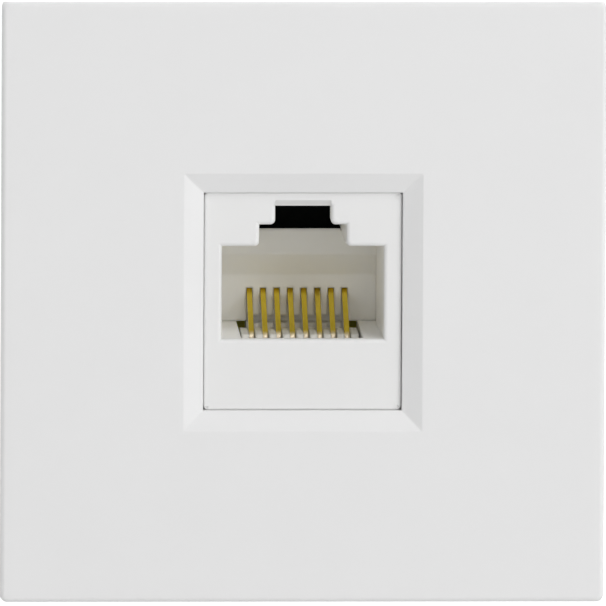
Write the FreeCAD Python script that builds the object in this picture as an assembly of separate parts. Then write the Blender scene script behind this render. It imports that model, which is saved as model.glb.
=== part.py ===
"""Square 45 mm data-socket insert: a snap-in cover plate that holds a clip-in eight-contact network jack.

Millimetres. +X is to the right seen from the front, +Y goes into the wall, +Z is up.
The origin is the plate's centre on its seat plane, the rear of the rim that lies on the support frame.
Jack pieces are drawn from the jack's own face (y = 0 there) and then set behind the plate's recess.
"""

import FreeCAD
import Part

import math
import os

V = FreeCAD.Vector

# Cover plate
plate_side = 45.0         # width and height of the square front
rim_depth = 1.6           # front face to the seat plane
rim_lean = 0.12           # the rim's sides come in this much towards the support frame
rim_land = 0.1            # straight strip between the rounded edge and the leaning side
front_wall = 1.8
edge_radius = 0.4         # round of the front edges
corner_radius = 0.55      # round of the four corners, seen from the front
skirt_inset = 2.0         # the skirt behind the rim stands this far inside the plate's edge
skirt_wall = 1.4
skirt_depth = 3.2         # reach of the skirt into the support frame
skirt_round = 1.0
rib_wall = 1.0            # stiffening ribs inside the skirt
rib_setback = 0.6         # the ribs stop this far short of the skirt's rear edge
rib_spread = 11.0         # distance between the two ribs on each side of the cradle

# Bevelled recess round the jack
bevel_width = 1.5
bevel_depth = 0.7

# Snap claws that grip the support frame
claw_width = 7.0
claw_taper = 0.7          # the claws are this much thicker at the root
claw_spread = 25.0        # distance between the two claws of a side
claw_relief = 1.0         # slot in the skirt at each side of a claw
relief_foot = 0.4         # the slots stop this far behind the seat plane
claw_barb = 1.3
claw_hook = 4.2           # length of a claw behind the frame
frame_grip = 2.3          # thickest support frame that the claws take

# Fit of the jack in the plate
side_gap = 0.04
end_gap = 0.006
face_sink = 0.3           # the jack's face lies this far behind the foot of the bevel
clip_play = 0.1           # play of the lug and of the latch in the cradle
cradle_wall = 1.5
cradle_round = 0.8
cradle_lead = 0.5         # chamfer at the cradle's rear mouth

# Plug opening
cavity_width = 12.05
cavity_height = 6.96
cavity_draft = 0.12       # the cavity's side walls come in this much towards the comb
step_width = 6.5
step_height = 1.62
notch_width = 4.15
notch_height = 1.38
notch_chamfer = 0.47
side_wall = 1.33
roof_wall = 1.06
catch_wall = 1.8          # wall that the plug's latch hooks behind
plug_depth = 10.4         # face to the comb at the back of the cavity
face_round = 0.18         # front edges of the jack's face
face_corner = 0.3         # corners of the jack's face
opening_round = 0.3
corner_spare = 0.06       # the shoulders' corners are this much rounder than the opening's edge

# Jack housing
face_block = 2.4          # full-height front of the housing
pit_lip = 0.7             # front wall of the pit that the contact sled slides into
pit_depth = 2.45
deck_wall = 0.7           # floor below the contact sled
snap_zone = 2.8           # housing that stands out of the cradle for the terminal block's arms

# Fixed lug on top and sprung latch below
lug_width = 11.0
lug_front = 5.0
lug_length = 1.6
lug_height = 1.4
latch_width = 8.0
latch_thickness = 0.9
latch_gap = 1.25          # room for the latch to spring up
barb_length = 2.8
barb_land = 0.9           # flat crest of the barb
barb_height = 1.05
ledge_length = 1.5        # ledge of the cradle that the barb hooks on
tab_clear = 1.5           # finger tab of the latch to the terminal block
tab_drop = 0.5

# Contacts
contact_count = 8
contact_pitch = 1.016
contact_width = 0.4
contact_thickness = 0.3
bend_radius = 0.45        # middle line of the hairpin
bend_front = 6.05         # face to the centre of the even contacts' hairpins
bend_stagger = 0.45       # the odd contacts turn this much further back
tip_rise = 2.33           # height of the contact tips above the cavity's floor
tip_depth = 0.45          # how far the tips reach into the comb
tail_length = 0.3         # contact tails behind the circuit board

# Contact sled
slot_play = 0.04          # between a contact and the walls of its slot
tip_room = 0.18           # slot above the contact tips
tip_clear = 0.15          # slot behind the contact tips
sled_play = 0.18          # between the sled and the sides of the pit
sled_drop = 0.2           # top of the sled below the cavity's floor
sled_edge = 0.57          # plastic outside the outermost slots
run_cover = 1.04          # contacts above the bottom of the sled
web_clear = 0.15          # room between a hairpin and the web inside it
tooth_reach = 2.3         # teeth between the contacts, in front of the hairpins
nose_slope = 0.9
nose_drop = 0.5
sled_trench = 2.3         # gap between the teeth and the comb
comb_wall = 1.8
comb_lift = 0.41          # the comb ends this far above the cavity's floor
ledge_drop = 0.12         # the ledge below the comb lies this far below that floor
ledge_depth = 1.2
stop_height = 1.79        # upright plug stop at the top of the comb wall
stop_slope = 1.6          # slope below the stop
stop_crest = 0.13         # the stop's middle reaches this far above the cavity's ceiling
stop_fall = 0.8           # fall of the wall's top towards the rear
stop_reach = 0.8
sled_cheek = 0.35         # the comb wall seats this deep in the housing's sides

# Circuit board
board_thickness = 1.2
board_gap = 0.8           # comb wall to circuit board
board_play = 0.1
contact_hole = 0.6        # diameters
fork_hole = 0.85

# Terminal block
block_overhang = 0.85     # terminal block beyond the housing's sides
block_rise = 0.42         # terminal block beyond the housing's top and bottom
block_round = 0.7
rim_wall = 0.8            # rim round the circuit board
base_wall = 1.5
row_height = 5.0
lane_count = 4
lane_width = 1.1
lane_depth = 7.2
lane_root = 2.3           # solid foot of a row below its lanes
lane_wall = 1.18          # plastic between two forks
lane_mouth = 0.75         # flare of a wire lane, each side
lane_flare = 1.3          # depth of that flare
tail_room = 0.9           # pocket behind the board for the contacts' tails
tail_half = 0.6
arm_width = 5.0
arm_bar = 0.5
arm_play = 0.1
nub_height = 0.55
nub_width = 2.8

# Insulation-displacement forks
fork_width = 2.4
fork_thickness = 0.4
fork_slit = 0.3
fork_slit_depth = 4.2
fork_mouth = 0.9
fork_mouth_depth = 0.6
fork_tail = 0.55
fork_play = 0.06

# Wire caps
cap_wall = 1.1
cap_round = 0.8
cap_play = 0.12
cap_skirt = 3.4           # how far the cap's ends reach over a row
cap_finger = 1.5          # fingers that press the wires into the lanes
finger_clear = 0.9        # fingers to the forks' points
grip_count = 5
grip_pitch = 1.9
grip_depth = 0.35
grip_width = 0.8

# Worked-out sizes of the jack, from its face
sill_height = latch_thickness + latch_gap + deck_wall + pit_depth
face_width = cavity_width + 2 * side_wall
face_height = sill_height + cavity_height + step_height + notch_height + roof_wall
top = face_height / 2
floor = sill_height - top
ceiling = floor + cavity_height
step_top = ceiling + step_height
notch_top = step_top + notch_height
deck_top = floor - pit_depth
deck_bottom = deck_top - deck_wall
housing_length = plug_depth + comb_wall + board_gap
cradle_end = housing_length - snap_zone
barb_rear = cradle_end - ledge_length - clip_play
barb_front = barb_rear - barb_length
arm_front = cradle_end + arm_bar
nub_front = arm_front + arm_bar + arm_play
nub_rear = housing_length - arm_bar

# Worked-out places behind the housing
board_rear = housing_length + board_thickness
base_rear = board_rear + base_wall
row_end = base_rear + lane_root + lane_depth
lane_floor = row_end - lane_depth
fork_top = row_end - cap_finger - finger_clear
lane_pitch = fork_width + 2 * fork_play + lane_wall
lane_places = [(n - (lane_count - 1) / 2) * lane_pitch for n in range(lane_count)]
block_width = face_width + 2 * block_overhang
block_top = top + block_rise
row_middle = block_top - row_height / 2

# Worked-out places of the contacts and of the sled that carries them
contact_places = [(n - (contact_count - 1) / 2) * contact_pitch for n in range(contact_count)]
slot_width = contact_width + 2 * slot_play
sled_half = contact_places[-1] + slot_width / 2 + sled_edge
pit_half = sled_half + sled_play
sled_top = floor - sled_drop
web_bottom = deck_top + run_cover + contact_thickness
web_top = web_bottom + 2 * bend_radius - contact_thickness - web_clear
run_height = web_bottom - contact_thickness / 2
tip_y = plug_depth + tip_depth
tip_z = floor + tip_rise
tooth_front = bend_front - bend_radius - tooth_reach
stop_y = plug_depth - stop_reach
comb_rear = plug_depth + comb_wall

# Worked-out places in the plate's frame
plate_front = -rim_depth
skirt_half = plate_side / 2 - skirt_inset
face_y = plate_front + bevel_depth + face_sink
aperture_width = face_width + 2 * side_gap
aperture_height = face_height + 2 * end_gap

beyond = 1.0              # cutting tools run this far past the faces they open
across = V(1, 0, 0)
upright = V(0, 0, 1)


def block(x, y, z):
    """Box from three (low, high) pairs."""
    return Part.makeBox(x[1] - x[0], y[1] - y[0], z[1] - z[0], V(x[0], y[0], z[0]))


def wide(width, y, z, middle=0.0):
    """Box of that width about x = middle."""
    return block((middle - width / 2, middle + width / 2), y, z)


def side_profile(points, width, middle=0.0):
    """Prism of a (y, z) outline, of that width about x = middle."""
    corners = [V(middle - width / 2, y, z) for y, z in points]
    return Part.Face(Part.makePolygon(corners + corners[:1])).extrude(V(width, 0, 0))


def plan_profile(points, z):
    """Prism of an (x, y) outline between two heights."""
    corners = [V(x, y, z[0]) for x, y in points]
    return Part.Face(Part.makePolygon(corners + corners[:1])).extrude(V(0, 0, z[1] - z[0]))


def rectangle(width, height, y):
    """Upright rectangular wire about the Y axis."""
    x, z = width / 2, height / 2
    corners = [V(-x, y, -z), V(x, y, -z), V(x, y, z), V(-x, y, z)]
    return Part.makePolygon(corners + corners[:1])


def drill(diameter, x, z, y):
    """Round hole along Y."""
    return Part.makeCylinder(diameter / 2, y[1] - y[0], V(x, y[0], z), V(0, 1, 0))


def with_mirror(shapes, axis):
    """The shapes and their mirror images across the plane through the origin."""
    return shapes + [shape.mirror(V(0, 0, 0), axis) for shape in shapes]


def joined(shapes):
    return shapes[0].fuse(shapes[1:]).removeSplitter()


def without(shape, cuts):
    return shape.cut(joined(cuts)).removeSplitter()


def near(a, b):
    return abs(a - b) < 1e-4


def rounded(shape, radius, test):
    """Fillet of the edges whose ends and middle all pass the test."""
    edges = [edge for edge in shape.Edges if all(test(p) for p in edge.discretize(3))]
    return shape.makeFillet(radius, edges)


def plate_block():
    """The plate's outer form, with rounded corners and front edges."""
    half = plate_side / 2

    def corner(p):
        return near(abs(p.x), half) and near(abs(p.z), half)

    def front_edge(p):
        return near(p.y, plate_front)

    body = wide(plate_side, (plate_front, 0), (-half, half))
    return rounded(rounded(body, corner_radius, corner), edge_radius, front_edge)


def rim_slivers():
    """Thin wedges off the rim, so that its four sides come in towards the support frame."""
    half = plate_side / 2
    outline = [(plate_front + edge_radius + rim_land, half), (0, half), (0, half - rim_lean)]
    above = side_profile(outline, plate_side)
    right = plan_profile([(z, y) for y, z in outline], (-half, half))
    return with_mirror([above], upright) + with_mirror([right], across)


def cradle_walls():
    """Tunnel behind the recess, tall enough for the lug above and the latch's barb below."""
    half = aperture_width / 2 + cradle_wall
    low = -top - barb_height - clip_play - cradle_wall
    high = top + lug_height + clip_play + cradle_wall

    def long_corner(p):
        return near(abs(p.x), half) and (near(p.z, low) or near(p.z, high))

    front = plate_front + front_wall / 2 - face_y
    walls = wide(2 * half, (front, cradle_end), (low, high))
    return rounded(walls, cradle_round, long_corner).translated(V(0, face_y, 0))


def cradle_room():
    """Passage for the jack, with the pockets that its lug and barb snap into."""
    half_height = aperture_height / 2
    passage = wide(aperture_width, (-face_sink, cradle_end), (-half_height, half_height))
    lug_pocket = wide(
        lug_width + 2 * side_gap,
        (lug_front - clip_play, lug_front + lug_length + clip_play),
        (0, top + lug_height + clip_play),
    )
    barb_pocket = wide(
        latch_width + 2 * side_gap,
        (barb_front - clip_play, barb_rear + clip_play),
        (-top - barb_height - clip_play, 0),
    )
    inner = rectangle(aperture_width, aperture_height, cradle_end - cradle_lead)
    outer = rectangle(aperture_width + cradle_lead, aperture_height + cradle_lead, cradle_end)
    mouth = Part.makeLoft([inner, outer], True)
    return joined([passage, lug_pocket, barb_pocket, mouth]).translated(V(0, face_y, 0))


def bevel_cut():
    """Four sloping sides from the plate's front down to the aperture."""
    outer = rectangle(aperture_width + 2 * bevel_width, aperture_height + 2 * bevel_width, plate_front)
    inner = rectangle(aperture_width, aperture_height, plate_front + bevel_depth)
    return Part.makeLoft([outer, inner], True)


def skirt_block():
    """Square body behind the rim that centres the plate in the support frame."""

    def long_corner(p):
        return near(abs(p.x), skirt_half) and near(abs(p.z), skirt_half)

    y = (plate_front + front_wall / 2, skirt_depth)
    return rounded(wide(2 * skirt_half, y, (-skirt_half, skirt_half)), skirt_round, long_corner)


def claw(middle):
    """Upper snap claw: a tapered arm in line with the skirt, with a barb behind the frame."""
    arm_low = skirt_half - skirt_wall
    barb_top = skirt_half + claw_barb
    root = plate_front + front_wall / 2
    end = frame_grip + claw_hook
    outline = [
        (root, arm_low - claw_taper),
        (root, skirt_half),
        (frame_grip, skirt_half),
        (frame_grip, barb_top),
        (frame_grip + claw_barb / 2, barb_top),
        (end, skirt_half - skirt_wall / 3),
        (end, arm_low),
        (frame_grip, arm_low),
    ]
    return side_profile(outline, claw_width, middle)


def claw_reliefs(middle):
    """Slot through the upper skirt as wide as a claw and the gaps beside it."""
    width = claw_width + 2 * claw_relief
    return wide(width, (relief_foot, skirt_depth), (skirt_half - skirt_wall, skirt_half), middle)


def plate_ribs():
    """Ribs from the cradle to the skirt, on all four sides."""
    reach = skirt_half - skirt_wall / 2
    y = (plate_front + front_wall / 2, skirt_depth - rib_setback)
    ribs = []
    for place in (-rib_spread / 2, rib_spread / 2):
        band = (place - rib_wall / 2, place + rib_wall / 2)
        ribs.append(block((-reach, reach), y, band))
        ribs.append(block(band, y, (-reach, reach)))
    return ribs


def make_cover_plate():
    inside = skirt_half - skirt_wall
    hollow = wide(2 * inside, (plate_front + front_wall, skirt_depth), (-inside, inside))
    claw_places = (-claw_spread / 2, claw_spread / 2)
    reliefs = with_mirror([claw_reliefs(place) for place in claw_places], upright)
    claws = with_mirror([claw(place) for place in claw_places], upright)
    front = plate_block().cut(joined(rim_slivers()))
    shell = without(joined([front, skirt_block()]), [hollow] + reliefs)
    plate = joined([shell, cradle_walls()] + plate_ribs() + claws)
    return without(plate, [bevel_cut(), cradle_room()])


def latch():
    """Sprung arm below the housing: a barb that ramps up from the front, then a finger tab."""
    low = -top
    high = low + latch_thickness
    tab_end = housing_length - tab_clear
    outline = [
        (face_block - face_round, low),
        (barb_front, low),
        (barb_rear - barb_land, low - barb_height),
        (barb_rear, low - barb_height),
        (barb_rear, low),
        (cradle_end + clip_play, low),
        (tab_end, low - tab_drop),
        (tab_end, high - tab_drop),
        (cradle_end, high),
        (face_block - face_round, high),
    ]
    return side_profile(outline, latch_width)


def lug():
    """Fixed hook on top, sloped at the rear so that the jack can be tilted in."""
    root = top - roof_wall / 2
    rear = lug_front + lug_length
    outline = [
        (lug_front, root),
        (lug_front, top + lug_height),
        (rear - lug_length / 3, top + lug_height),
        (rear, top + lug_height / 2),
        (rear, root),
    ]
    return side_profile(outline, lug_width)


def arm_nub():
    """Wedge on the right side that the terminal block's arm snaps over."""
    side = face_width / 2
    root = side - side_wall / 2
    crest = side + nub_height
    outline = [
        (root, nub_front),
        (crest, nub_front),
        (crest, nub_front + nub_height / 2),
        (side, nub_rear),
        (root, nub_rear),
    ]
    return plan_profile(outline, (-nub_width / 2, nub_width / 2))


def opening_tool():
    """The plug's way in: body, latch step and notch, with rounded shoulders."""
    y = (-beyond, catch_wall)
    tool = joined(
        [
            wide(cavity_width, y, (floor, ceiling)),
            wide(step_width, y, (floor, step_top)),
            wide(notch_width, y, (floor, notch_top)),
        ]
    )

    def shoulder(p):
        at_step = near(abs(p.x), step_width / 2) and near(p.z, ceiling)
        return at_step or (near(abs(p.x), notch_width / 2) and near(p.z, step_top))

    return rounded(tool, opening_round + corner_spare, shoulder)


def notch_slope():
    """Sloping top of the latch notch, seen from the front as a narrow shaded band."""
    foot = notch_top - notch_height / 2
    outline = [
        (-beyond, notch_top + notch_chamfer),
        (0, notch_top + notch_chamfer),
        (notch_chamfer, notch_top),
        (notch_chamfer, foot),
        (-beyond, foot),
    ]
    return side_profile(outline, notch_width)


def housing_front():
    """Full-height face with rounded corners and edges and a rounded plug opening."""

    def corner(p):
        return near(abs(p.x), face_width / 2) and near(abs(p.z), top)

    def front_edge(p):
        return near(p.y, 0)

    def opening_edge(p):
        inside = abs(p.x) < (cavity_width + side_wall) / 2 and abs(p.z) < notch_top + roof_wall / 2
        return near(p.y, 0) and inside

    face = rounded(wide(face_width, (0, face_block), (-top, top)), face_corner, corner)
    face = rounded(face, face_round, front_edge).cut(opening_tool())
    return rounded(face, opening_round, opening_edge).cut(notch_slope())


def drafted_cavity():
    """Cavity behind the catch wall; its side walls come in a little towards the comb."""
    wide_half = cavity_width / 2
    narrow_half = wide_half - cavity_draft
    outline = [
        (-wide_half, catch_wall),
        (wide_half, catch_wall),
        (narrow_half, stop_y),
        (-narrow_half, stop_y),
    ]
    return plan_profile(outline, (floor, ceiling))


def make_jack_housing():
    body = wide(face_width, (face_block - face_round, housing_length), (deck_bottom, top))
    solid = joined([body, lug(), latch()] + with_mirror([arm_nub()], across))
    behind = (catch_wall, housing_length)
    rooms = [
        drafted_cavity(),
        wide(step_width, behind, (floor, notch_top)),
        wide(2 * pit_half, (pit_lip, housing_length), (deck_top, floor)),
        wide(cavity_width + 2 * sled_cheek, (stop_y, housing_length), (floor, ceiling)),
    ]
    return without(joined([housing_front(), solid.cut(opening_tool())]), rooms)


def comb_wall_solid():
    """Wall at the back of the cavity: plug stop above, slope below it, then the comb."""
    high = ceiling - slot_play
    half = cavity_width / 2 + sled_cheek - slot_play
    stop_low = high - stop_height
    rear_top = high - stop_fall
    outline = [
        (plug_depth, floor),
        (plug_depth, stop_low - stop_slope),
        (stop_y, stop_low),
        (stop_y, high),
        (comb_rear, rear_top),
        (comb_rear, floor),
    ]
    wall = side_profile(outline, 2 * half)
    crest_outline = [(stop_y, stop_low), (stop_y, ceiling + stop_crest), (comb_rear, rear_top)]
    crest = side_profile(crest_outline, step_width - 2 * slot_play)
    cheek = block((cavity_width / 2 - cavity_draft, half), (stop_y, plug_depth), (floor, stop_low))
    return joined([wall, crest] + with_mirror([cheek], across))


def sled_tongue():
    """Floor of the sled, from the teeth in front to the circuit board."""
    outline = [
        (tooth_front, deck_top),
        (tooth_front, sled_top - nose_drop),
        (tooth_front + nose_slope, sled_top),
        (plug_depth, sled_top),
        (plug_depth, floor),
        (comb_rear, floor),
        (comb_rear, sled_top),
        (housing_length, sled_top),
        (housing_length, deck_top),
    ]
    return side_profile(outline, 2 * sled_half)


def bend_y(number):
    """Place of a contact's hairpin: the odd contacts turn further back."""
    return bend_front + (bend_stagger if number % 2 == 0 else 0.0)


def contact_channel(number, x):
    """All of the sled that a contact lies or moves in, from the teeth to the comb."""
    below = deck_top - beyond
    trough = wide(slot_width, (tooth_front - beyond, plug_depth), (below, floor), x)
    web_y = (bend_y(number) + slot_play, plug_depth)
    web = wide(slot_width + beyond, web_y, (web_bottom, web_top), x)
    groove = wide(slot_width, (stop_y, housing_length + beyond), (below, web_bottom), x)
    comb_slot = wide(slot_width, (stop_y, tip_y + tip_clear), (web_top, tip_z + tip_room), x)
    return joined([trough.cut(web), groove, comb_slot])


def make_contact_sled():
    """Sled with its comb; below the comb it is cut back to a ledge, and beside the trench it is open."""
    sled = joined([sled_tongue(), comb_wall_solid()])
    slots_half = contact_places[-1] + slot_width / 2
    trench_front = plug_depth - sled_trench
    trench = wide(2 * sled_half, (trench_front, plug_depth), (web_top, floor))
    ledge_z = (floor - ledge_drop, floor + comb_lift)
    ledge = wide(2 * slots_half, (stop_y, plug_depth + ledge_depth), ledge_z)
    side_room = block((slots_half, sled_half), (trench_front, housing_length), (deck_top, floor))
    cuts = [trench, ledge] + with_mirror([side_room], across)
    return without(sled, cuts + [contact_channel(n, x) for n, x in enumerate(contact_places)])


def make_spring_contact(number, x):
    """Flat spring: tail through the board, run below the web, hairpin, then the sloping arm."""
    centre = V(0, bend_y(number), run_height + bend_radius)
    to_tip = V(0, tip_y, tip_z) - centre
    arm = math.sqrt(to_tip.Length**2 - bend_radius**2)
    slope = math.atan2(to_tip.z, to_tip.y) - math.atan2(bend_radius, arm)
    along = V(0, math.cos(slope), math.sin(slope))

    def on_bend(radius, angle):
        return centre + V(0, math.cos(angle), math.sin(angle)) * radius

    def strand(radius):
        """Tail end, start, middle and end of the bend, and tip, along one face of the spring."""
        start = on_bend(radius, -math.pi / 2)
        leave = on_bend(radius, math.pi / 2 + slope)
        tail = V(0, board_rear + tail_length, start.z)
        return tail, start, on_bend(radius, math.pi + slope / 2), leave, leave + along * arm

    outer = strand(bend_radius + contact_thickness / 2)
    inner = strand(bend_radius - contact_thickness / 2)
    edges = [Part.LineSegment(inner[0], outer[0]), Part.LineSegment(outer[-1], inner[-1])]
    for tail, start, middle, leave, tip in (outer, inner):
        edges.append(Part.LineSegment(tail, start))
        edges.append(Part.Arc(start, middle, leave))
        edges.append(Part.LineSegment(leave, tip))
    outline = Part.Wire(Part.__sortEdges__([edge.toShape() for edge in edges]))
    spring = Part.Face(outline).extrude(V(contact_width, 0, 0))
    return spring.translated(V(x - contact_width / 2, 0, 0))


def fork_places():
    """(x, z) of the insulation-displacement forks, upper row first."""
    return [(x, side * row_middle) for side in (1, -1) for x in lane_places]


def board_room(play):
    """Space of the circuit board inside the terminal block's rim."""
    half_width = block_width / 2 - rim_wall - board_play + play
    half_height = block_top - rim_wall - board_play + play
    return wide(2 * half_width, (housing_length, board_rear), (-half_height, half_height))


def make_circuit_board():
    y = (housing_length - beyond, board_rear + beyond)
    holes = [drill(contact_hole, x, run_height, y) for x in contact_places]
    holes += [drill(fork_hole, x, z, y) for x, z in fork_places()]
    return without(board_room(0), holes)


def wire_lane(x):
    """Slot through both rows that a wire is pressed into, with a flared mouth."""
    half = lane_width / 2
    right = [
        (half, lane_floor),
        (half, row_end - lane_flare),
        (half + lane_mouth, row_end),
        (half + lane_mouth, row_end + beyond),
    ]
    left = [(-px, py) for px, py in reversed(right)]
    outline = [(x + px, py) for px, py in right + left]
    return plan_profile(outline, (-block_top - beyond, block_top + beyond))


def fork_pocket(x, z):
    """Thin slot in a row that a fork is pushed into from the board's side."""
    half = fork_thickness / 2 + fork_play
    y = (board_rear, fork_top + fork_play)
    return wide(fork_width + 2 * fork_play, y, (z - half, z + half), x)


def snap_arm():
    """Right-hand arm that holds the terminal block to the housing, with a window for the nub."""
    x = (face_width / 2 + arm_play, block_width / 2)
    arm = block(x, (arm_front, board_rear), (-arm_width / 2, arm_width / 2))
    half = nub_width / 2 + arm_play
    window_y = (arm_front + arm_bar, nub_rear + arm_play)
    return arm.cut(block((x[0] - beyond, x[1] + beyond), window_y, (-half, half)))


def make_terminal_block():
    half = block_width / 2
    inner = block_top - row_height

    def long_corner(p):
        return near(abs(p.x), half) and near(abs(p.z), block_top)

    body = wide(block_width, (housing_length, row_end), (-block_top, block_top))
    body = rounded(body, block_round, long_corner)
    channel = wide(block_width + beyond, (base_rear, row_end + beyond), (-inner, inner))
    tail_z = (run_height - tail_half, run_height + tail_half)
    tail_pocket = wide(2 * sled_half, (board_rear, board_rear + tail_room), tail_z)
    cuts = [channel, board_room(board_play), tail_pocket]
    cuts += [wire_lane(x) for x in lane_places]
    cuts += [fork_pocket(x, z) for x, z in fork_places()]
    return joined([without(body, cuts)] + with_mirror([snap_arm()], across))


def make_terminal_fork(x, z):
    """Flat blade with a slit between two points, and a tail through the board."""
    half, tail, slit, mouth = (width / 2 for width in (fork_width, fork_tail, fork_slit, fork_mouth))
    right = [
        (tail, housing_length),
        (tail, board_rear),
        (half, board_rear),
        (half, fork_top),
        (mouth, fork_top),
        (slit, fork_top - fork_mouth_depth),
        (slit, fork_top - fork_slit_depth),
    ]
    left = [(-px, py) for px, py in reversed(right)]
    outline = [(x + px, py) for px, py in right + left]
    return plan_profile(outline, (z - fork_thickness / 2, z + fork_thickness / 2))


def make_upper_cap():
    """Cap over the upper row: lid, two end skirts, and a finger into each wire lane."""
    lid_front = row_end + cap_play
    lid_rear = lid_front + cap_wall
    room = block_width / 2 + cap_play
    half = room + cap_wall
    z = (block_top - row_height, block_top)

    def rear_corner(p):
        return near(abs(p.x), half) and near(p.y, lid_rear)

    shell = rounded(wide(2 * half, (row_end - cap_skirt, lid_rear), z), cap_round, rear_corner)
    shell = shell.cut(wide(2 * room, (row_end - cap_skirt, lid_front), z))
    finger_y = (row_end - cap_finger, lid_front)
    finger_z = (z[0] + cap_wall, z[1] - cap_wall)
    fingers = [wide(lane_width - 2 * cap_play, finger_y, finger_z, x) for x in lane_places]
    grip_y = (lid_rear - grip_depth, lid_rear + beyond)
    grip_x = [(n - (grip_count - 1) / 2) * grip_pitch for n in range(grip_count)]
    return without(joined([shell] + fingers), [wide(grip_width, grip_y, z, x) for x in grip_x])


def make_parts():
    """Every node's solid in the plate's frame."""
    upper_cap, lower_cap = with_mirror([make_upper_cap()], upright)
    jack = {
        "jack_housing": make_jack_housing(),
        "contact_sled": make_contact_sled(),
        "circuit_board": make_circuit_board(),
        "terminal_block": make_terminal_block(),
        "upper_wire_cap": upper_cap,
        "lower_wire_cap": lower_cap,
    }
    for n, x in enumerate(contact_places):
        jack[f"spring_contact_{n + 1}"] = make_spring_contact(n, x)
    for n, (x, z) in enumerate(fork_places()):
        jack[f"terminal_fork_{n + 1}"] = make_terminal_fork(x, z)
    parts = {name: shape.translated(V(0, face_y, 0)) for name, shape in jack.items()}
    parts["cover_plate"] = make_cover_plate()
    return parts


def main():
    os.makedirs("parts", exist_ok=True)
    for name, shape in make_parts().items():
        shape.exportStep(f"parts/{name}.step")


main()
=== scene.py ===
# %% [markdown]
# # A square data socket, dressed for its picture
# The object is a 45 mm wall insert: a flat white cover plate with a bevelled recess, and in it a network
# jack that is clipped in from behind. Every solid already has its true shape and place in the CAD frame,
# so nothing is modelled again from a cube. What is left for Blender is what a CAD solid lacks: softened
# edges, surfaces with a finish, light and a camera. The frame comes in first.

import math

import bpy
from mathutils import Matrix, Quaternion, Vector


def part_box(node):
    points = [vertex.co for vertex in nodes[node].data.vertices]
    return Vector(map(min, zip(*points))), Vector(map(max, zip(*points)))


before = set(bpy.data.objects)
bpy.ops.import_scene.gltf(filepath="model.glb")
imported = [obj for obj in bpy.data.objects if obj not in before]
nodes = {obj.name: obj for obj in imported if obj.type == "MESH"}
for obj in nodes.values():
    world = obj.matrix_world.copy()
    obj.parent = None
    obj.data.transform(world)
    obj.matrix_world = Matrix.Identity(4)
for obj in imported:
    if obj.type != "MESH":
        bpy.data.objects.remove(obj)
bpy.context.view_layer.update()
scene = bpy.context.scene
millimetre = 0.001


# %% [markdown]
# ## Camera
# The socket was photographed from far away with a long lens, a little from above and from the left: the
# sides of the plate stay parallel, yet the floor and the right wall of the plug opening can be seen. An
# orthographic camera would keep lines parallel too. A very long lens does nearly the same, and it is
# placed and aimed as a real camera is. The plate's width in the picture gives the size of a pixel, and
# that gives the distance. The camera leans a little, as the plate's edges do in the picture.

# %% Camera
picture_pixels, plate_pixels = 606, 604.8
framing_pixels = Vector((-0.3, -0.1, 0))
lens, sensor = 1500, 36
nearest, farthest = 0.1, 10
view_azimuth, view_elevation, view_lean = math.radians(-2.4), math.radians(7.5), math.radians(0.29)
plate_low, plate_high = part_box("cover_plate")
front_centre = Vector((0, plate_low.y, 0))
pixel = (plate_high.x - plate_low.x) * math.cos(view_azimuth) / plate_pixels
camera_distance = pixel * picture_pixels * lens / sensor


def bearing(azimuth, elevation):
    """Unit vector from the socket, turned from straight forwards by two angles in radians."""
    level = math.cos(elevation)
    return Vector((math.sin(azimuth) * level, -math.cos(azimuth) * level, math.sin(elevation)))


towards_camera = bearing(view_azimuth, view_elevation)
turn = (-towards_camera).to_track_quat("-Z", "Y") @ Quaternion((0, 0, 1), view_lean)
camera_data = bpy.data.cameras.new("camera")
camera_data.sensor_width = sensor
camera_data.lens = lens
camera_data.clip_start = nearest
camera_data.clip_end = farthest
camera = bpy.data.objects.new("camera", camera_data)
camera.rotation_mode = "QUATERNION"
camera.rotation_quaternion = turn
camera.location = front_centre + towards_camera * camera_distance + turn @ framing_pixels * pixel
scene.collection.objects.link(camera)
scene.camera = camera
print("camera", round(camera_distance, 3), "m away,", round(pixel / millimetre, 4), "mm to a pixel")

# %% [markdown]
# ## Shader maths
# A finish is a sum of small causes, such as grain, haze and dust, and a sum reads best as an expression.
# This class wraps one socket of a node tree, so that `1 - mask` or `grain * 0.2 + haze` adds the Math
# nodes by itself. All other nodes come from its one method `node`, which sets a node's settings before it
# fills the sockets.


# %% Shader maths
class Flow:
    """One output socket of a node tree; arithmetic on it adds Math nodes to that tree."""

    def __init__(self, tree, socket=None):
        self.tree = tree
        self.socket = socket

    def node(self, kind, settings, sockets, output=0):
        """New node of this kind in the same tree; gives back one of its outputs."""
        made = self.tree.nodes.new("ShaderNode" + kind)
        for name, setting in settings.items():
            setattr(made, name, setting)
        feed(made, sockets)
        return Flow(self.tree, made.outputs[output])

    def math(self, operation, first, second):
        return self.node("Math", {"operation": operation}, {0: first, 1: second})

    def __add__(self, other):
        return self.math("ADD", self, other)

    def __sub__(self, other):
        return self.math("SUBTRACT", self, other)

    def __mul__(self, other):
        return self.math("MULTIPLY", self, other)

    def __gt__(self, other):
        return self.math("GREATER_THAN", self, other)

    def __radd__(self, other):
        return self.math("ADD", other, self)

    def __rsub__(self, other):
        return self.math("SUBTRACT", other, self)

    def __rmul__(self, other):
        return self.math("MULTIPLY", other, self)


def feed(node, sockets):
    """Fill sockets of a node with numbers, colours or Flows."""
    for name, value in sockets.items():
        if isinstance(value, Flow):
            value.tree.links.new(value.socket, node.inputs[name])
        else:
            node.inputs[name].default_value = value


def new_finish(name):
    """New material; gives back the material, a Flow for its nodes, and its shader."""
    material = bpy.data.materials.new(name)
    material.use_nodes = True
    tree = material.node_tree
    return material, Flow(tree), tree.nodes["Principled BSDF"]


print("shader maths ready")

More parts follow.
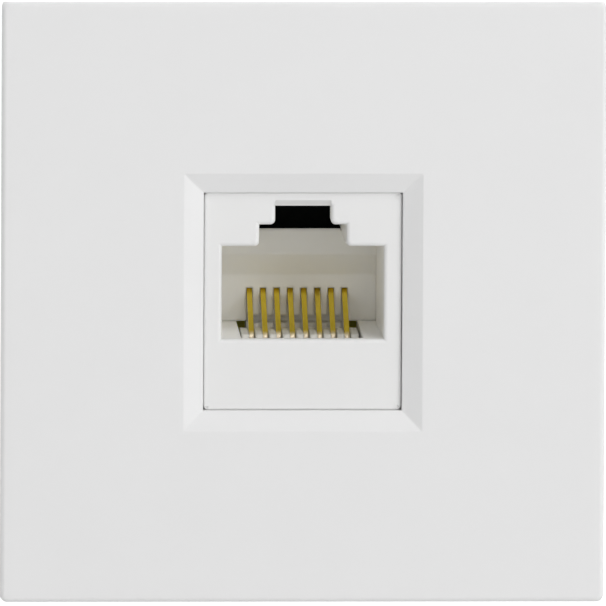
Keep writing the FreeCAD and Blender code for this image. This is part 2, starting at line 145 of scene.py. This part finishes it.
# %% [markdown]
# ## World
# The picture has a plain white background. To the camera, and in reflections, the world is simply white.
# For the light that falls on the object it has levels of its own. A picture of a studio could give that
# light, but three levels are enough: panels round a small product light its edges, so the world is
# brightest beside the socket, dimmest in front, where the lamps are, and dim behind. Smooth steps along the
# depth axis join the levels.

# %% World
front_level, side_level, rear_level = 0.25, 1.3, 0.5
rise_start, rise_end = -0.3, 0.35
fall_start, fall_end = 0.3, 0.8


def seen_directly(flow):
    """1 for what the camera, a mirror or a window shows, 0 for light that only shades."""
    kinds = ("Camera", "Glossy", "Transmission")
    rays = [flow.node("LightPath", {}, {}, f"Is {kind} Ray") for kind in kinds]
    return rays[0] + rays[1] + rays[2] > 0.5


def ramp(flow, value, low, high):
    """Smooth step from 0 at low to 1 at high."""
    limits = {"Value": value, "From Min": low, "From Max": high}
    return flow.node("MapRange", {"interpolation_type": "SMOOTHSTEP"}, limits)


world = bpy.data.worlds.new("studio")
world.use_nodes = True
scene.world = world
sky = Flow(world.node_tree)
direction = sky.node("TexCoord", {}, {}, "Generated")
backwards = sky.node("SeparateXYZ", {}, {0: direction}, "Y")
rise = ramp(sky, backwards, rise_start, rise_end)
fall = ramp(sky, backwards, fall_start, fall_end)
panels = front_level + (side_level - front_level) * rise - (side_level - rear_level) * fall
shown = seen_directly(sky)
strength = shown + (1 - shown) * panels
feed(world.node_tree.nodes["Background"], {"Color": (1, 1, 1, 1), "Strength": strength})
print("world level", front_level, "in front,", side_level, "beside and", rear_level, "behind")

# %% [markdown]
# ## Floor
# A sheet of paper lies well below, because the insert hangs in a wall and stands on nothing. It could be a
# backdrop that curves up, but before a white world a flat sheet is enough. To the camera, and in
# reflections, it glows and so looks white as the world does. For the light on the object it is plain grey
# paper. Its underside lets light through, so that the socket can be looked at from below as well.

# %% Floor
floor_reach, floor_height = 1.5, -0.07
paper_grey, paper_roughness, paper_glow = (0.6, 0.6, 0.6, 1), 0.9, 0.75
signs = ((-1, -1), (1, -1), (1, 1), (-1, 1))
corners = [(x * floor_reach, y * floor_reach, floor_height) for x, y in signs]
floor_mesh = bpy.data.meshes.new("floor")
floor_mesh.from_pydata(corners, [], [(0, 1, 2, 3)])
floor = bpy.data.objects.new("floor", floor_mesh)
scene.collection.objects.link(floor)
paper, paper_flow, paper_shader = new_finish("paper")
glow = seen_directly(paper_flow) * paper_glow
underside = paper_flow.node("NewGeometry", {}, {}, "Backfacing")
feed(
    paper_shader,
    {
        "Base Color": paper_grey,
        "Roughness": paper_roughness,
        "Emission Color": paper_flow.node("CombineColor", {}, {0: glow, 1: glow, 2: glow}),
        "Emission Strength": 1.0,
        "Alpha": 1 - underside,
    },
)
floor_mesh.materials.append(paper)
print("paper floor", 2 * floor_reach, "m wide at", floor_height, "m")

# %% [markdown]
# ## Lamps
# The light in the picture is soft and comes from the upper right: the upper and right walls of the recess
# lie in shade, and the left and lower ones are bright. One large window could give that. Separate lamps
# let the walls, the front and the inside of the jack be balanced one by one, so there are two keys on the
# right, a fill in front and one on the left. The key behind is for views of the back.


# %% Lamps
def soft_lamp(name, azimuth, elevation, size, power, distance=0.9):
    """Square area lamp aimed at the socket, placed by its bearing from the front in degrees."""
    data = bpy.data.lights.new(name, "AREA")
    data.shape = "SQUARE"
    data.size = size
    data.energy = power
    way = bearing(math.radians(azimuth), math.radians(elevation))
    lamp = bpy.data.objects.new(name, data)
    lamp.location = front_centre + way * distance
    lamp.rotation_mode = "QUATERNION"
    lamp.rotation_quaternion = (-way).to_track_quat("-Z", "Y")
    scene.collection.objects.link(lamp)
    print(name, "of", power, "W at", azimuth, "degrees round and", elevation, "up")


soft_lamp("low key", azimuth=44, elevation=10, size=0.35, power=1.74)
soft_lamp("high key", azimuth=32, elevation=46, size=0.5, power=2.22)
soft_lamp("front fill", azimuth=4, elevation=7, size=0.5, power=0.94, distance=1.1)
soft_lamp("left fill", azimuth=-35, elevation=12, size=0.5, power=0.5)
soft_lamp("rear key", azimuth=160, elevation=45, size=0.4, power=0.9)
scene.view_settings.view_transform = "Standard"

# %% [markdown]
# ## Colours, zones and specks
# Three things come back in the finishes below. A colour shades into another. Some pieces are painted
# lighter or darker inside the jack, as painted light and painted shade: painting by hand could give that,
# but a zone of depth behind the jack's face is exact and needs no image. And specks of dust lie on a real
# socket here and there. They could be scattered as small meshes, but a cell texture in which only a few
# cells hold a dot is lighter and stays on the surface.

# %% Colours, zones and specks
jack_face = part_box("jack_housing")[0].y
zone_edge = 0.3 * millimetre
speck_core = 0.6


def blend(flow, factor, first, second):
    """Colour that goes from the first to the second; each is a Flow or three numbers."""
    pair = [colour if isinstance(colour, Flow) else (*colour, 1) for colour in (first, second)]
    return flow.node("Mix", {"data_type": "RGBA"}, {0: factor, 6: pair[0], 7: pair[1]}, 2)


def tinted(colour, factor):
    """The same colour, darker or lighter."""
    return [channel * factor for channel in colour]


def behind(flow, place, depth):
    """1 farther than this depth in mm behind the jack's face, 0 nearer, with a soft edge."""
    limit = jack_face + depth * millimetre
    return ramp(flow, flow.node("SeparateXYZ", {}, {0: place}, "Y"), limit - zone_edge, limit + zone_edge)


def specks(flow, place, spacing, radius, share):
    """1 inside small round specks; only this share of the cells holds one."""
    cell = {"Vector": place, "Scale": 1 / spacing}
    distance = flow.node("TexVoronoi", {}, cell, "Distance")
    lot = flow.node("SeparateColor", {}, {0: flow.node("TexVoronoi", {}, cell, "Color")})
    return (lot > 1 - share) * (1 - ramp(flow, distance, speck_core * radius / spacing, radius / spacing))


print("jack's face", round(-jack_face / millimetre, 2), "mm in front of the seat")

# %% [markdown]
# ## Moulded plastic
# All the white pieces are moulded plastic: satin, with the fine spark grain of the mould, faint haze where
# it was handled, and a little dust. The grain is far too fine for geometry, so it is a bump from noise at
# its real size. The haze is a wide noise that shifts tone and gloss a little. Moulded edges are never quite
# sharp. A Bevel modifier could cut them, but a Bevel node turns the normals across each edge, which rounds
# it in the light and leaves the mesh as it is.

# %% Moulded plastic
grain_scale, grain_height = 9 / millimetre, 0.02 * millimetre
haze_scale, haze_dark, haze_light, haze_dulls = 0.14 / millimetre, 0.985, 1.012, 0.12
dust_spacing, dust_radius, dust_share = 2.6 * millimetre, 0.06 * millimetre, 0.06
dust_cover, dust_tone, dust_dulls = 0.35, 0.55, 0.3


def moulding(name, colour, roughness, grain, edge, zone=None):
    """Plastic with edges of this radius in mm; zone holds a colour of painted light or shade and the depths
    it lies between.
    """
    material, flow, shader = new_finish(name)
    place = flow.node("TexCoord", {}, {}, "Object")
    spark = flow.node("TexNoise", {}, {"Vector": place, "Scale": grain_scale, "Detail": 2.0})
    haze = flow.node("TexNoise", {}, {"Vector": place, "Scale": haze_scale, "Detail": 3.0})
    dust = specks(flow, place, dust_spacing, dust_radius, dust_share)
    body = blend(flow, haze, tinted(colour, haze_dark), tinted(colour, haze_light))
    # Painted light or shade: the zone's colour is painted in between its two depths behind the jack's face.
    if zone:
        other, start, end = zone
        body = blend(flow, behind(flow, place, start) - behind(flow, place, end), body, other)
    tint = blend(flow, dust * dust_cover, body, tinted(colour, dust_tone))
    rough = haze * haze_dulls + dust * dust_dulls + (roughness - haze_dulls / 2)
    rounded = flow.node("Bevel", {"samples": 4}, {"Radius": edge * millimetre})
    relief = {"Strength": grain, "Distance": grain_height, "Height": spark, "Normal": rounded}
    feed(shader, {"Base Color": tint, "Roughness": rough, "Normal": flow.node("Bump", {}, relief)})
    return material


print("grain of", round(1 / (grain_scale * millimetre), 2), "mm, dust in", dust_share, "of the cells")

# %% [markdown]
# ## White pieces
# Each piece has its own white and gloss, because each comes from its own mould and batch of plastic. Inside
# the jack the plastic is painted a little lighter than on its face, as painted light in the cavity. On the
# sled's teeth a grey band is painted shade between the springs. One finish for all would be quicker, but
# then the pieces could hardly be told apart where they meet.


# %% White pieces
def dress(material, *names):
    """Give CAD nodes this finish in place of their own."""
    for name in names:
        mesh = nodes[name].data
        mesh.materials.clear()
        mesh.materials.append(material)
    print(material.name, "on", ", ".join(names))


# Painted light: the inside of the jack is painted a little lighter, from 0.4 to 30 mm behind its face, to
# stand in for light in the cavity.
painted_cavity_light = (0.96, 0.955, 0.93), 0.4, 30
# Painted shade: the sled's teeth are painted grey between 4.4 and 7.6 mm behind the jack's face, as shade
# between the springs.
painted_teeth_shade = (0.70, 0.69, 0.63), 4.4, 7.6
plate_white = moulding("plate_white", (0.88, 0.88, 0.88), roughness=0.42, grain=0.14, edge=0.16)
jack_white = moulding("jack_white", (0.875, 0.875, 0.87), 0.44, grain=0.14, edge=0.12, zone=painted_cavity_light)
sled_white = moulding("sled_white", (0.85, 0.838, 0.79), 0.55, grain=0.18, edge=0.3, zone=painted_teeth_shade)
block_white = moulding("block_white", (0.80, 0.80, 0.785), roughness=0.52, grain=0.20, edge=0.12)
cap_white = moulding("cap_white", (0.84, 0.84, 0.83), roughness=0.44, grain=0.16, edge=0.12)
dress(plate_white, "cover_plate")
dress(jack_white, "jack_housing")
dress(sled_white, "contact_sled")
dress(block_white, "terminal_block")
dress(cap_white, "upper_wire_cap", "lower_wire_cap")

# %% [markdown]
# ## Circuit board
# Behind the plug opening stands a glass-fibre board under near-black solder mask. Round the tails of the
# contacts the mask has a window, and the bare laminate there is olive. The cloth inside it could be woven
# from threads, but under the mask only a faint relief is left, so two crossing sine waves with the pitch of
# the cloth make a bump instead.

# %% Circuit board
thread_pitch, thread_height, thread_strength = 0.45 * millimetre, 0.02 * millimetre, 0.15
window_width, window_height, window_edge = 10.4 * millimetre, 3.0 * millimetre, 0.1 * millimetre
tail_height = -4.1 * millimetre
mask_black, laminate_olive = (0.003, 0.004, 0.003), (0.70, 0.68, 0.09)
mask_roughness, laminate_dulls, thread_dulls = 0.65, 0.15, 0.05


def thread(flow, way):
    """Wave from -1 to 1 across the threads of the cloth."""
    return flow.node("Math", {"operation": "SINE"}, {0: way * (math.tau / thread_pitch)})


def within(flow, way, width):
    """1 up to half the width on both sides of zero, 0 beyond."""
    off = flow.node("Math", {"operation": "ABSOLUTE"}, {0: way})
    return 1 - ramp(flow, off, width / 2, width / 2 + window_edge)


def masked_board():
    """Solder mask over glass cloth, with a window round the contacts' tails."""
    material, flow, shader = new_finish("board_mask")
    place = flow.node("TexCoord", {}, {}, "Object")
    across, height = (flow.node("SeparateXYZ", {}, {0: place}, axis) for axis in "XZ")
    weave = thread(flow, across) * thread(flow, height)
    bare = within(flow, across, window_width) * within(flow, height - tail_height, window_height)
    relief = {"Strength": thread_strength, "Distance": thread_height, "Height": weave}
    feed(
        shader,
        {
            "Base Color": blend(flow, bare, mask_black, laminate_olive),
            "Roughness": mask_roughness + bare * laminate_dulls + weave * thread_dulls,
            "Normal": flow.node("Bump", {}, relief),
            "Specular IOR Level": 0.05,
        },
    )
    return material


dress(masked_board(), "circuit_board")

# %% [markdown]
# ## Metal
# The spring contacts are drawn wire, plated with gold where the plug rubs on them. At the hairpin in front
# the gold is painted paler, a painted highlight where the bend catches the light. The forks that bite into
# the wires are tinned and dull.
# Both show lines along the metal, from drawing or rolling. Scratches could be drawn one by one, but noise
# that is stretched in one direction gives such lines everywhere, so it becomes the bump.

# %% Metal
mottle_scale, mottle_dulls = 1.5 / millimetre, 0.16
line_strength, line_height, line_dulls = 0.2, 0.02 * millimetre, 0.1
highlight_dulls = 0.2


def plating(name, bright, deep, roughness, stretch, highlight_zone=None):
    """Metal with lines along it; the last argument holds a painted highlight's colour and the depth in mm
    in front of which it shows.
    """
    material, flow, shader = new_finish(name)
    place = flow.node("TexCoord", {}, {}, "Object")
    stretched = flow.node("VectorMath", {"operation": "MULTIPLY"}, {0: place, 1: stretch})
    lines = flow.node("TexNoise", {}, {"Vector": stretched, "Scale": 1.0, "Detail": 3.0})
    mottle = flow.node("TexNoise", {}, {"Vector": place, "Scale": mottle_scale, "Detail": 4.0})
    tint = blend(flow, mottle, deep, bright)
    rough = mottle * mottle_dulls + lines * line_dulls + (roughness - (mottle_dulls + line_dulls) / 2)
    # Painted highlight: in front of the given depth the gold is painted pale, as the light the hairpin bend
    # catches, and made a little rougher.
    if highlight_zone:
        colour, limit = highlight_zone
        highlit = 1 - behind(flow, place, limit)
        tint = blend(flow, highlit, tint, colour)
        rough = rough + highlit * highlight_dulls
    relief = {"Strength": line_strength, "Distance": line_height, "Height": lines}
    bump = flow.node("Bump", {}, relief)
    feed(shader, {"Base Color": tint, "Metallic": 1.0, "Roughness": rough, "Normal": bump})
    return material


contacts = [f"spring_contact_{n}" for n in range(1, 9)]
forks = [f"terminal_fork_{n}" for n in range(1, 9)]
# Painted highlight colour: the pale cream of gold where the hairpin bends catch the light.
painted_hairpin_highlight = (0.97, 0.86, 0.68)
gold = {"bright": (0.95, 0.74, 0.09), "deep": (0.84, 0.62, 0.05), "roughness": 0.34}
along_contact, along_fork = (14000, 500, 500), (600, 600, 9000)
odd_gold = plating("odd_gold", **gold, stretch=along_contact, highlight_zone=(painted_hairpin_highlight, 6.2))
even_gold = plating("even_gold", **gold, stretch=along_contact, highlight_zone=(painted_hairpin_highlight, 5.75))
fork_tin = plating("fork_tin", (0.70, 0.69, 0.66), (0.54, 0.53, 0.51), roughness=0.38, stretch=along_fork)
dress(odd_gold, *contacts[0::2])
dress(even_gold, *contacts[1::2])
dress(fork_tin, *forks)

# %% [markdown]
# ## Softened metal edges
# Stamped and plated metal has no knife edges: the plating rounds them off. Drawn by hand that would be a
# fillet on every edge. Here the CAD mesh stays as it is, and two modifiers round it: Weld joins the corners
# that the solids' faces share, and Bevel then rounds each edge between faces that meet at a sharp angle.

# %% Softened metal edges
contact_radius, fork_radius = 0.07 * millimetre, 0.04 * millimetre
weld_distance = 0.001 * millimetre
sharp_angle = math.radians(40)


def soften(names, radius):
    """Round the sharp edges of CAD nodes by modifiers."""
    for name in names:
        weld = nodes[name].modifiers.new("weld", "WELD")
        weld.merge_threshold = weld_distance
        bevel = nodes[name].modifiers.new("bevel", "BEVEL")
        bevel.width = radius
        bevel.segments = 2
        bevel.limit_method = "ANGLE"
        bevel.angle_limit = sharp_angle
    print("edges rounded by", round(radius / millimetre, 2), "mm on", len(names), "pieces")


soften(contacts, contact_radius)
soften(forks, fork_radius)
